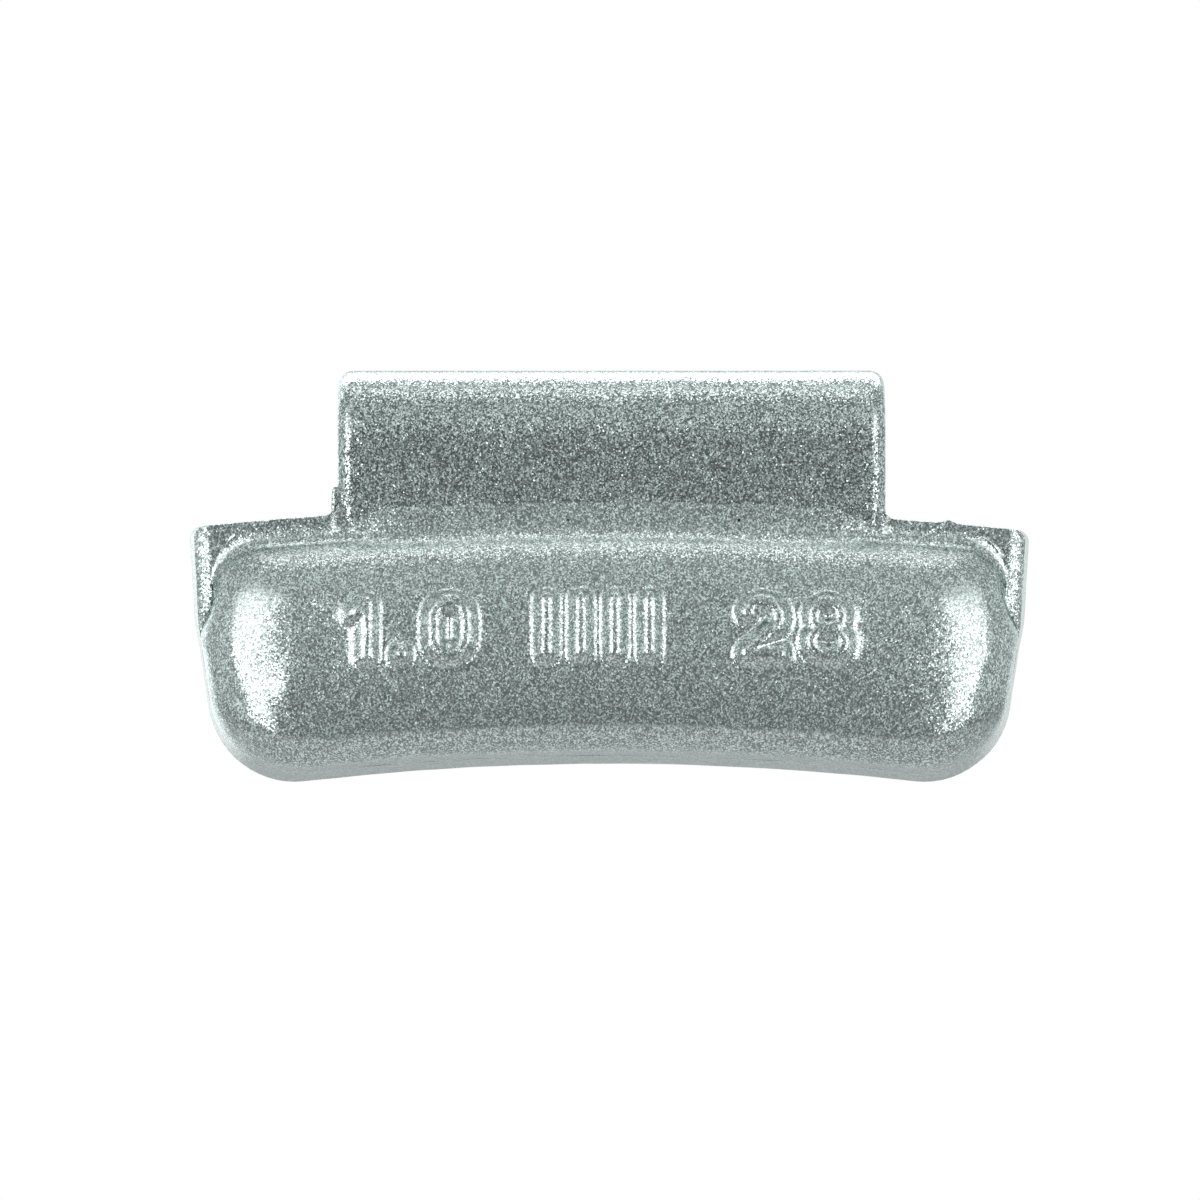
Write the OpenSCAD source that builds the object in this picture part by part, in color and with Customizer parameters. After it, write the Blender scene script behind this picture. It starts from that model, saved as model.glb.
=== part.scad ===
// Clip-on balance weight for an alloy wheel: a cast lead-alloy bar, keyed round a spring-steel clip.
// Millimetres. X runs along the rim, Z points away from the hub and Y points into the wheel, so the
// face that shows looks along -Y. The origin is the middle of the clip's bend, on the bend's own axis.

/* [Rim] */
// Radius of the rim flange's outer edge, from the hub's axis
flange_edge_r = 182; // [170:0.5:260]

/* [Clip] */
// Width of the steel strip, along the rim
clip_w = 25.4; // [18:0.1:31]
// Thickness of the steel strip
strip_t = 0.9; // [0.6:0.05:1.2]
// Inner radius of the bend that goes over the flange's edge
bend_r = 2.4; // [1.8:0.05:3]
// Straight length of the tail below the bend
tail_l = 2.8; // [1.5:0.1:4]
// Inner radius of the curl at the tail's tip, which leads the clip on to the flange
flare_r = 1.2; // [0.6:0.1:2]
// Angle of that curl
flare_angle = 45; // [20:1:60]
// Radius of the tail's two corners, on the flat strip
tail_corner_r = 1.5; // [0.5:0.1:3]
// Length of strip from the bend's axis to the top of the casting, at the middle
panel_h = 3.2; // [2:0.1:5]
// Length of strip inside the casting
tongue_l = 8.6; // [6:0.1:9.5]
// Bevel of the tongue's two corners
tongue_bevel = 1.2; // [0.4:0.1:2]
// Diameter of the holes that the casting is keyed through
key_d = 3.4; // [2:0.1:4.5]
// Spacing of those holes
key_pitch = 7.4; // [5:0.1:9]
// Number of those holes
key_count = 3; // [1:1:3]
// Depth of the holes' centres below the top of the casting
key_drop = 5; // [3.5:0.1:6]

/* [Casting] */
// Length of the casting at its top corners
cast_l = 38.9; // [34:0.1:48]
// Height of the casting at the middle
cast_h = 11.8; // [10.5:0.1:14]
// Radius of the hollow underside
underside_r = 123; // [90:1:250]
// Lean of the two ends towards the middle, below the plate
end_lean = 7.8; // [0:0.1:12]
// Cover of metal behind the strip
back_cover = 2.6; // [0.6:0.05:3.2]
// Draft of the walls, towards the front
draft = 8; // [1:0.5:10]
// Radius of the edge round the back face
back_edge_r = 0.4; // [0.2:0.05:0.6]
// Radius of the lower corners, seen from the front
low_corner_r = 3.6; // [2.5:0.1:4.5]

/* [Flange plate] */
// Height of the plate that shows above the belly
plate_show = 1.05; // [0.6:0.05:1.6]
// Distance of the plate's lower end below its top
plate_h = 4.2; // [3:0.1:7]
// Lean of the plate's two ends towards the middle
plate_lean = 3; // [0:0.1:6]
// How far the plate's ends stand proud of the wall below them
plate_proud = 0.12; // [0.06:0.02:0.3]
// Height over which the plate's ends fade into the wall below them
plate_fade_h = 0.9; // [0.4:0.1:2]
// Radius of the plate's upper corners
plate_corner_r = 0.5; // [0.2:0.05:1]
// How far the plate's front lies behind the front of the strip
plate_set_back = 0.05; // [0.03:0.01:0.2]
// Radius of the plate's front edge
plate_edge_r = 0.35; // [0.2:0.05:0.6]

/* [Belly] */
// Height of the belly's crest above the underside, at the middle
crest_h = 2.35; // [1.5:0.05:3.2]
// Height of the flat along the crest
crest_flat = 0.5; // [0.3:0.05:0.8]
// Lean of the face at its upper end, back from upright
face_lean = 16; // [12:0.5:20]
// Radius of the gentle curve of the face, from there down to the crest
face_r = 26; // [22:0.5:60]
// Radius of the shoulder, between the face and the plate
shoulder_r = 5; // [4:0.1:5.8]
// Lean of the shoulder where it meets the plate
shoulder_start = 60; // [45:1:70]
// Radius of the hollow at the foot of the shoulder
foot_r = 1.1; // [0.4:0.05:1.3]
// Radius of the belly's upper corners, seen from the front
high_corner_r = 2; // [1:0.1:2.8]
// Slope of the belly's two ends, towards the front
end_slope = 16; // [10:1:22]
// Depth at which that slope begins, behind the plate's front
slope_start = 1.2; // [0.4:0.1:1.6]
// Length of the round at each end of the belly
end_round = 2.7; // [1.5:0.1:3.5]
// Depth at which the round under the crest begins, in front of the plate
under_start = 1.2; // [0.6:0.05:1.6]

/* [Back relief] */
// Height of the slope that clears the flange's edge, at the top of the back face
relief_h = 2.4; // [1:0.1:3]
// Depth of that slope at the top
relief_d = 1.1; // [0.3:0.05:1.5]

/* [Flash] */
// Width of the fin of metal beside the clip, which the mould leaves on one side
flash_w = 0.28; // [0.15:0.01:0.5]
// Height of that fin
flash_h = 1.05; // [0.5:0.05:2]
// Thickness of that fin
flash_t = 0.6; // [0.3:0.05:0.8]

/* [Hidden] */
round_fn = 96;
corner_steps = 8;
long_steps = 6;
side_steps = 4;
crown_rings = 15;
fillet_rings = 4;
plate_step = 0.01;
past = 1;

strip_back_y = -bend_r;
strip_front_y = -bend_r - strip_t;
back_y = strip_back_y + back_cover;
plate_y = strip_front_y + plate_set_back;
plate_t = back_y - plate_y;
hub_z = -(flange_edge_r - bend_r);
top_z = -panel_h;
bottom_z = top_z - cast_h;
shoulder_z = top_z - plate_show;
plate_low_z = top_z - plate_h;
top_arc_r = top_z - hub_z;
crest_low_z = bottom_z + crest_h - crest_flat / 2;
under_round = crest_low_z - bottom_z - (plate_t + under_start) * tan(draft);
roof_drop = shoulder_z - crest_low_z - crest_flat;
shoulder_h = shoulder_r * (sin(shoulder_start) - sin(face_lean));
shoulder_d = shoulder_r * (cos(face_lean) - cos(shoulder_start));
crest_lean = asin(sin(face_lean) - (roof_drop - shoulder_h) / face_r);
belly_d = shoulder_d + face_r * (cos(crest_lean) - cos(face_lean));
foot_turn = acos((foot_r + shoulder_r * cos(shoulder_start)) / (foot_r + shoulder_r));
foot_d = foot_r * (1 - cos(foot_turn));
foot_h = shoulder_r * (sin(foot_turn) - sin(shoulder_start)) + foot_r * sin(foot_turn);

// Drop of an arc of radius r, at the distance x from its highest point
function arc_drop(r, x) = r - sqrt(r * r - x * x);

// The share s kept between 0 and 1
function held(s) = min(max(s, 0), 1);

// Share, from 0 to 1, of a quarter round that is cut away at the share s of its depth
function round_cut(s) = 1 - sqrt(1 - pow(held(s), 2));

// Share, from 0 to 1, that rises smoothly with s
function eased(s) = let (k = held(s)) k * k * (3 - 2 * k);

// Drop along an arc of radius r whose lean is start at its upper end, at the depth d beyond that
function lean_drop(r, start, d) = let (
    c = min(d / r + cos(start), 1)
) r * (sin(start) - sqrt(1 - c * c));

// Height of the belly's roof at the depth d: a hollow foot, the shoulder and then the face
function roof_z(d) = shoulder_z + (d < foot_d
    ? foot_h - sqrt(foot_r * foot_r - pow(foot_r - d, 2))
    : -lean_drop(shoulder_r, shoulder_start, min(d, shoulder_d))
        - lean_drop(face_r, face_lean, max(d - shoulder_d, 0)));

// Half length of the belly at the height z, at the depth d in front of the plate
function belly_half(z, d) = cast_l / 2 - plate_h * tan(plate_lean) - plate_proud
    - (plate_low_z - z) * tan(end_lean) - (plate_t + d) * tan(draft)
    - max(d + slope_start, 0) * (tan(end_slope) - tan(draft)) - end_round * round_cut(d / belly_d);

// Half length of the back slab there: the plate's end above, and the belly's wall below it
function slab_half(z, d) = let (
    plate_half = cast_l / 2 - (top_z - z) * tan(plate_lean) - (plate_t + d) * tan(draft),
    s = eased((z - plate_low_z) / plate_fade_h)
) belly_half(z, d) * (1 - s) + plate_half * s;

// Half of an outline, from the middle of its lower edge round to the middle of its upper edge. Its
// half length comes from belly_half or slab_half, less the inset, and split_z parts its side in two.
function half_outline(d, slab, inset, top, low, split_z, high_rx, high_rz, low_rx, low_rz) = let (
    at = function (reach, z)
        [((slab ? slab_half(z, d) : belly_half(z, d)) - inset) * reach, z],
    low_reach = 1 - low_rx / belly_half(low, d),
    high_reach = 1 - high_rx / belly_half(top, d)
) concat(
    [for (i = [0:long_steps - 1]) at(low_reach * i / long_steps, low)],
    [
        for (i = [0:corner_steps]) let (a = 90 * i / corner_steps)
            at(low_reach + (1 - low_reach) * sin(a), low + low_rz * (1 - cos(a)))
    ],
    [for (i = [1:side_steps]) at(1, low + low_rz + (split_z - low - low_rz) * i / side_steps)],
    [for (i = [1:side_steps - 1]) at(1, split_z + (top - high_rz - split_z) * i / side_steps)],
    [
        for (i = [0:corner_steps]) let (a = 90 * i / corner_steps)
            at(high_reach + (1 - high_reach) * cos(a), top - high_rz * (1 - sin(a)))
    ],
    [for (i = [1:long_steps]) at(high_reach * (1 - i / long_steps), top)]
);

// The whole ring from half an outline, bent to the rim and placed at the depth d
function ring(half, d) = [
    for (p = concat(half, [for (i = [len(half) - 2:-1:1]) [-half[i].x, half[i].y]])) let (
        s = (top_z - p.y) / cast_h
    ) [p.x, plate_y - d, p.y - (1 - s) * arc_drop(top_arc_r, p.x) - s * arc_drop(underside_r, p.x)]
];

// Half an outline of the belly, at the depth d in front of the plate
function belly_outline(d) = let (
    under_cut = under_round * round_cut((d - under_start) / (belly_d - under_start)),
    top = roof_z(d),
    low = bottom_z + (plate_t + min(d, under_start)) * tan(draft) + under_cut,
    high_rz = min(high_corner_r, 0.45 * (top - low)),
    low_r = low_corner_r - under_cut,
    low_rz = min(low_r, 0.45 * (top - low)),
    split = (plate_low_z - bottom_z - low_corner_r)
        / (shoulder_z + foot_h - high_corner_r - bottom_z - low_corner_r)
) half_outline(d, false, 0, top, low, low + low_rz + split * (top - high_rz - low - low_rz),
    high_corner_r, high_rz, low_r, low_rz);

// Half an outline of the back slab, at the distance forward from the back face
function slab_outline(forward, inset) = let (
    low = bottom_z + forward * tan(draft) + inset,
    low_r = low_corner_r - inset,
    corner_r = plate_corner_r - inset
) half_outline(forward - plate_t, true, inset, top_z - inset, low, plate_low_z, corner_r, corner_r,
    low_r, low_r);

// The point at the distance r from a on the way to b, or b where that is nearer
function toward(a, b, r) = norm(b - a) > r ? a + (b - a) * r / norm(b - a) : b;

// A closed solid through rings of equally many points, given from the back to the front
module loft(rings) {
    n = len(rings[0]);
    last = len(rings) - 1;
    points = [for (ring = rings) each ring];
    walls = [
        for (k = [0:last - 1], i = [0:n - 1]) let (j = (i + 1) % n, a = k * n, b = a + n)
            each [[a + i, b + i, b + j], [a + i, b + j, a + j]]
    ];
    back = [for (i = [0:n - 1]) i];
    front = [for (i = [0:n - 1]) last * n + n - 1 - i];
    polyhedron(points = points, faces = concat([back], walls, [front]), convexity = 6);
}

// Places a drawing of the (y, z) plane across the clip, w wide along X
module across(w) {
    rotate([90, 0, 90])
        linear_extrude(height = w, center = true)
            children();
}

// The bar of metal: a thin plate behind, and in front of it the belly, which leaves the plate to show
// above it and at its upper corners
module bar() {
    back_rings = [
        for (i = [0:fillet_rings]) let (
            a = 90 * i / fillet_rings,
            forward = back_edge_r * (1 - cos(a))
        ) ring(slab_outline(forward, back_edge_r * (1 - sin(a))), forward - plate_t)
    ];
    foot = belly_outline(0);
    edge_rings = [
        for (i = [0:fillet_rings]) let (
            a = 90 * i / fillet_rings,
            forward = plate_t - plate_edge_r * (1 - sin(a)),
            slab = slab_outline(forward, 0)
        ) ring([
            for (k = [0:len(slab) - 1]) toward(slab[k], foot[k], plate_edge_r * (1 - cos(a)))
        ], forward - plate_t)
    ];
    foot_rings = [
        for (i = [0:fillet_rings]) let (
            a = foot_turn * i / fillet_rings,
            d = plate_step + (foot_d - plate_step) * (1 - cos(a)) / (1 - cos(foot_turn))
        ) ring(belly_outline(d), d)
    ];
    crown = [
        for (i = [1:crown_rings]) let (
            from = asin(foot_d / belly_d),
            d = belly_d * sin(from + (90 - from) * i / crown_rings)
        ) ring(belly_outline(d), d)
    ];
    loft(concat(back_rings, edge_rings, foot_rings, crown));
}

// The slope along the top of the back face, turned about the hub's axis as the rim is
module relief() {
    reach = 2 * asin(cast_l / 2 / top_arc_r) + 2 * past;
    translate([0, 0, hub_z])
        rotate([90, 90 - reach / 2, 0])
            rotate_extrude(angle = reach)
                polygon([
                    [top_arc_r - relief_h, -back_y],
                    [top_arc_r + past, -back_y + relief_d * (1 + past / relief_h)],
                    [top_arc_r + past, -back_y - past],
                    [top_arc_r - relief_h, -back_y - past]
                ]);
}

// The part of the strip below the bend's axis, which runs down into the casting
module tongue() {
    end_z = top_z - tongue_l;
    half = clip_w / 2;
    difference() {
        translate([0, strip_back_y, 0])
            rotate([90, 0, 0])
                linear_extrude(height = strip_t)
                    polygon([
                        [-half, 0], [-half, end_z + tongue_bevel], [tongue_bevel - half, end_z],
                        [half - tongue_bevel, end_z], [half, end_z + tongue_bevel], [half, 0]
                    ]);
        for (i = [0:key_count - 1])
            translate([(i - (key_count - 1) / 2) * key_pitch, strip_back_y + past, top_z - key_drop])
                rotate([90, 0, 0])
                    cylinder(d = key_d, h = strip_t + 2 * past, $fn = round_fn);
    }
}

// The bend over the flange's edge
module bend() {
    across(clip_w)
        intersection() {
            difference() {
                circle(r = bend_r + strip_t, $fn = round_fn);
                circle(r = bend_r, $fn = round_fn);
            }
            translate([-bend_r - strip_t - past, 0])
                square([2 * (bend_r + strip_t + past), bend_r + strip_t + past]);
        }
}

// The tail behind the flange, with its tip curled away from the rim
module tail() {
    tip_r = flare_r + strip_t;
    reach = 2 * tip_r;
    tip_z = -tail_l - tip_r * sin(flare_angle);
    half = clip_w / 2;
    intersection() {
        across(clip_w)
            union() {
                translate([bend_r, -tail_l])
                    square([strip_t, tail_l]);
                translate([bend_r + tip_r, -tail_l])
                    intersection() {
                        difference() {
                            circle(r = tip_r, $fn = round_fn);
                            circle(r = flare_r, $fn = round_fn);
                        }
                        polygon([
                            [0, 0], [-reach, 0], [-reach, -reach],
                            [-reach * cos(flare_angle), -reach * sin(flare_angle)]
                        ]);
                    }
            }
        translate([0, bend_r + reach, 0])
            rotate([90, 0, 0])
                linear_extrude(height = 2 * reach)
                    union() {
                        translate([-half, tip_z + tail_corner_r])
                            square([clip_w, -tip_z - tail_corner_r]);
                        translate([tail_corner_r - half, tip_z])
                            square([clip_w - 2 * tail_corner_r, tail_corner_r]);
                        for (side = [-1, 1])
                            translate([side * (half - tail_corner_r), tip_z + tail_corner_r])
                                circle(r = tail_corner_r, $fn = round_fn);
                    }
    }
}

// The fin of metal that the mould leaves against one edge of the clip
module flash() {
    translate([-clip_w / 2 - flash_w, strip_front_y + (strip_t - flash_t) / 2, shoulder_z])
        cube([2 * flash_w, flash_t, plate_show + flash_h]);
}

// The casting: bar and fin in one piece of lead alloy, cast round the tongue
module cast_weight() {
    color([0.60, 0.65, 0.64])
        difference() {
            union() {
                bar();
                flash();
            }
            relief();
            tongue();
        }
}

// The clip: one strip of spring steel, bent over the flange and pierced where the casting keys to it
module spring_clip() {
    color([0.54, 0.59, 0.58])
        union() {
            tongue();
            bend();
            tail();
        }
}

cast_weight();
spring_clip();
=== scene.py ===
"""Looks of a clip-on wheel balance weight: a silver-coated casting on a bent spring clip.

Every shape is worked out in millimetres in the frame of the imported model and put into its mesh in
metres. X runs along the rim, Z away from the hub, and the face that shows looks along -Y.
"""

import logging
import math
from dataclasses import dataclass, field
from enum import Enum

import bmesh
import bpy
import numpy as np
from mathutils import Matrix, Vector


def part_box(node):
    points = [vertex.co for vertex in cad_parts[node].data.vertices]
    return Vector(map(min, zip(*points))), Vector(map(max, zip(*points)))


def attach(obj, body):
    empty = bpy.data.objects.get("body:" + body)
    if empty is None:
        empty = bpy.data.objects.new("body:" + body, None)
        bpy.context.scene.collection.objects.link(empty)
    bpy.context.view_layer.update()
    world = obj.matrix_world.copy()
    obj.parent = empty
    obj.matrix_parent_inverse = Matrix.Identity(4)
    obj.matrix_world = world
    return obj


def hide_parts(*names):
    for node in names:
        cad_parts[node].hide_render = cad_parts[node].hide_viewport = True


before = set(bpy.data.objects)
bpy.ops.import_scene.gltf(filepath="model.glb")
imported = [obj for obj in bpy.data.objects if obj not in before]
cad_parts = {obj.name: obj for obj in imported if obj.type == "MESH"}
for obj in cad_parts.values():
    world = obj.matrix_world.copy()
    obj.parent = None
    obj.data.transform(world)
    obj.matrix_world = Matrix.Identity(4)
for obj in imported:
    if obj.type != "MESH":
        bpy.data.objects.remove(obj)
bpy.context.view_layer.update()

MM = 0.001
MERGE_M = 1e-7
TINY = 1e-12

# The photograph's frame and the clip's place in it
IMAGE_PX = 1200
CLIP_WIDTH_MM = 25.4
CLIP_WIDTH_PX = 549
MM_PER_PX = CLIP_WIDTH_MM / CLIP_WIDTH_PX
CLIP_MIDDLE_PX = 611.5
CLIP_TOP_PX = 369.0
PIN_HOLES_PX = ((568, 520), (739, 520))

# The waves of a dipped coat's swell: their number, and how each is shortened and shifted
SWELL_WAVES = 8
SWELL_SHORTENING = 0.35
SWELL_SHIFT = 1.7

log = logging.getLogger("wheel_weight")


def held(share: np.ndarray) -> np.ndarray:
    """Keep a share between 0 and 1."""
    return np.clip(share, 0.0, 1.0)


def eased(share: np.ndarray) -> np.ndarray:
    """Turn a share into one that starts and ends level: three squares less two cubes."""
    s = held(share)
    return s * s * (3 - 2 * s)


def round_cut(share: np.ndarray) -> np.ndarray:
    """Share cut away from a quarter round: one less the root of one less the share squared."""
    return 1 - np.sqrt(1 - held(share) ** 2)


def arc_drop(radius: float, x: np.ndarray | float) -> np.ndarray | float:
    """Drop of an arc below its highest point, at the distance x from it."""
    return radius - np.sqrt(radius * radius - x * x)


def slope_of(angle: float) -> float:
    """Slope of a wall that leans by this angle, in degrees."""
    return math.tan(math.radians(angle))


def from_pixel(px: float, py: float) -> tuple[float, float]:
    """Place of a pixel of the photograph on the object.

    Args:
        px: Pixel across, in the 1200 pixel frame.
        py: Pixel down, in the same frame.

    Returns:
        X and Z in millimetres.
    """
    clip_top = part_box("spring_clip")[1][2] / MM
    return (px - CLIP_MIDDLE_PX) * MM_PER_PX, clip_top - (py - CLIP_TOP_PX) * MM_PER_PX


def ripple(points: np.ndarray, wave: float, height: float) -> np.ndarray:
    """Low swell of a dipped coat: a sum of plane waves in directions a golden angle apart.

    Args:
        points: Places, in millimetres, with X, Y and Z last.
        wave: Length of the longest wave.
        height: Largest height of the sum.

    Returns:
        The swell's height at each point.
    """
    golden = math.pi * (3 - math.sqrt(5))
    total = np.zeros(points.shape[:-1])
    for i in range(SWELL_WAVES):
        up = 1 - (2 * i + 1) / SWELL_WAVES
        flat = math.sqrt(1 - up * up)
        way = np.array([flat * math.cos(golden * i), flat * math.sin(golden * i), up])
        length = wave / (1 + SWELL_SHORTENING * i)
        total += np.sin(points @ way * (2 * math.pi / length) + SWELL_SHIFT * i) / SWELL_WAVES
    return height * total


def grid_quads(rows: int, columns: int) -> np.ndarray:
    """Quads of a grid whose columns close into a ring.

    Args:
        rows: Number of rings.
        columns: Number of points in each ring.

    Returns:
        One row of four point numbers for each quad.
    """
    row, column = np.meshgrid(np.arange(rows - 1), np.arange(columns), indexing="ij")
    beside = (column + 1) % columns
    corners = (row * columns + column, row * columns + beside,
               (row + 1) * columns + beside, (row + 1) * columns + column)
    return np.stack(corners, axis=-1).reshape(-1, 4)


def new_object(name: str, data: bpy.types.ID) -> bpy.types.Object:
    """Put data into the scene as an object, at the origin."""
    made = bpy.data.objects.new(name, data)
    bpy.context.scene.collection.objects.link(made)
    return made


def make_piece(name: str, points: np.ndarray, faces: list[list[int]]) -> bpy.types.Object:
    """Put points and faces into a new closed mesh, with its faces turned outwards.

    Args:
        name: Name of the piece.
        points: Places in millimetres, one row for each point.
        faces: Point numbers of each face.

    Returns:
        The new object, at the origin.
    """
    mesh = bpy.data.meshes.new(name)
    mesh.from_pydata((points * MM).tolist(), [], faces)
    work = bmesh.new()
    work.from_mesh(mesh)
    bmesh.ops.remove_doubles(work, verts=work.verts, dist=MERGE_M)
    bmesh.ops.recalc_face_normals(work, faces=work.faces)
    work.to_mesh(mesh)
    work.free()
    mesh.shade_smooth()
    return new_object(name, mesh)


def add_node(tree: bpy.types.NodeTree, kind: str,
             inputs: dict[str | int, bpy.types.NodeSocket | float | tuple[float, ...]],
             **settings: str) -> bpy.types.Node:
    """Add a shader node to a node tree.

    Args:
        tree: The node tree.
        kind: Name of the node's type, without the words that all of them begin with.
        inputs: What goes into it: sockets, which are linked, and plain values.
        settings: Properties of the node, such as its operation.

    Returns:
        The new node.
    """
    node = tree.nodes.new("ShaderNode" + kind)
    for name, value in settings.items():
        setattr(node, name, value)
    for entry, value in inputs.items():
        if isinstance(value, bpy.types.NodeSocket):
            tree.links.new(value, node.inputs[entry])
        else:
            node.inputs[entry].default_value = value
    return node


def vector_step(tree: bpy.types.NodeTree, operation: str,
                *values: bpy.types.NodeSocket | tuple[float, ...]) -> bpy.types.NodeSocket:
    """Add one step of vector arithmetic to a node tree, and give the socket of its result."""
    inputs = dict(enumerate(values))
    return add_node(tree, "VectorMath", inputs, operation=operation).outputs["Vector"]


@dataclass(frozen=True)
class FlakeCoat:
    """Silver coat with metal flakes: each flake has a tilt and a tone of its own.

    The pin holes get painted shade: a near-black disc stands for each hole's depth, which the mesh
    doesn't have. The flake's size, the pin holes' places and the two radii of their painted shade,
    where the dark ends and where the plain coat begins, are in millimetres.
    """

    name: str
    tone: tuple[float, float, float] = (0.302, 0.362, 0.354)
    edge_tone: tuple[float, float, float] = (0.80, 0.86, 0.85)
    roughness: float = 0.22
    flake: float = 0.062
    tilt: float = 0.9
    contrast: float = 0.52
    pits: tuple[tuple[float, float], ...] = ()
    # near-black painted shade inside the pin holes, which the mesh doesn't sink
    pit_shade_tone: tuple[float, float, float] = (0.01, 0.012, 0.012)
    pit_radii: tuple[float, float] = (0.042, 0.098)

    def material(self) -> bpy.types.Material:
        """Build the coat's material.

        Returns:
            A node material whose pattern follows the object's own coordinates.
        """
        made = bpy.data.materials.new(self.name)
        made.use_nodes = True
        tree = made.node_tree
        shader = tree.nodes["Principled BSDF"]
        shader.inputs["Metallic"].default_value = 1.0
        shader.inputs["Roughness"].default_value = self.roughness
        shader.inputs["Specular Tint"].default_value = (*self.edge_tone, 1)

        place = add_node(tree, "TexCoord", {}).outputs["Object"]
        cells = add_node(tree, "TexVoronoi", {"Vector": place, "Scale": 1 / (self.flake * MM)})
        random = cells.outputs["Color"]
        tree.links.new(self._tone(tree, place, random), shader.inputs["Base Color"])
        tree.links.new(self._tilted(tree, random), shader.inputs["Normal"])
        return made

    def _tone(self, tree: bpy.types.NodeTree, place: bpy.types.NodeSocket,
              random: bpy.types.NodeSocket) -> bpy.types.NodeSocket:
        """Colour of each flake, about the coat's tone, with painted shade darkening the pin holes.

        A random share is squared, so that few flakes are bright. The darkest flake is darker than
        the tone by the contrast, and the brightest is brighter by twice that.

        Args:
            tree: The material's node tree.
            place: Place on the piece.
            random: Random colour of each flake.

        Returns:
            The socket that gives the colour.
        """
        blue = add_node(tree, "SeparateColor", {"Color": random}).outputs["Blue"]
        squared = add_node(tree, "Math", {0: blue, 1: blue}, operation="MULTIPLY")
        strength = add_node(tree, "MapRange", {
            "Value": squared.outputs["Value"],
            "To Min": 1 - self.contrast, "To Max": 1 + 2 * self.contrast,
        })
        colour = add_node(tree, "Mix", {
            "Factor": 1.0, "A": (*self.tone, 1), "B": strength.outputs["Result"],
        }, data_type="RGBA", blend_type="MULTIPLY").outputs["Result"]
        # painted shade: each pin hole is darkened in the colour, not cut into the surface
        for x, z in self.pits:
            colour = self._painted_pit_shade(tree, place, colour, x, z)
        return colour

    def _painted_pit_shade(self, tree: bpy.types.NodeTree, place: bpy.types.NodeSocket,
             colour: bpy.types.NodeSocket, x: float, z: float) -> bpy.types.NodeSocket:
        """Paint the shade of a pin hole in the coat: a dark disc as seen from the front, for a hole
        the mesh doesn't sink.

        Args:
            tree: The material's node tree.
            place: Place on the piece.
            colour: The colour round the hole.
            x: Place of the hole along the rim, in millimetres.
            z: Height of the hole, in millimetres.

        Returns:
            The socket that gives the colour with the hole's painted shade in it.
        """
        seen = vector_step(tree, "MULTIPLY", place, (1, 0, 1))
        away = add_node(tree, "VectorMath", {0: seen, 1: (x * MM, 0, z * MM)},
                        operation="DISTANCE")
        edge = add_node(tree, "MapRange", {
            "Value": away.outputs["Value"],
            "From Min": self.pit_radii[0] * MM, "From Max": self.pit_radii[1] * MM,
        })
        # painted shade: the colour goes near-black inside the pin hole's disc
        return add_node(tree, "Mix", {
            "Factor": edge.outputs["Result"], "A": (*self.pit_shade_tone, 1), "B": colour,
        }, data_type="RGBA").outputs["Result"]

    def _tilted(self, tree: bpy.types.NodeTree,
                random: bpy.types.NodeSocket) -> bpy.types.NodeSocket:
        """Normal of each flake: the surface's own, plus a random part, small for most flakes.

        The random part is the cube of a vector whose parts run from minus a half to a half.

        Args:
            tree: The material's node tree.
            random: Random colour of each flake.

        Returns:
            The socket that gives the normal.
        """
        part = vector_step(tree, "SUBTRACT", random, (0.5, 0.5, 0.5))
        cubed = vector_step(tree, "MULTIPLY", vector_step(tree, "MULTIPLY", part, part), part)
        scaled = add_node(tree, "VectorMath", {0: cubed, "Scale": self.tilt}, operation="SCALE")
        surface = add_node(tree, "NewGeometry", {}).outputs["Normal"]
        total = vector_step(tree, "ADD", surface, scaled.outputs["Vector"])
        return vector_step(tree, "NORMALIZE", total)


class Mark(Enum):
    """The plain raised marks on the face."""

    ONE = "one"
    POINT = "point"
    ZERO = "zero"
    BAR = "bar"
    TWO = "two"
    EIGHT = "eight"


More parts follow.
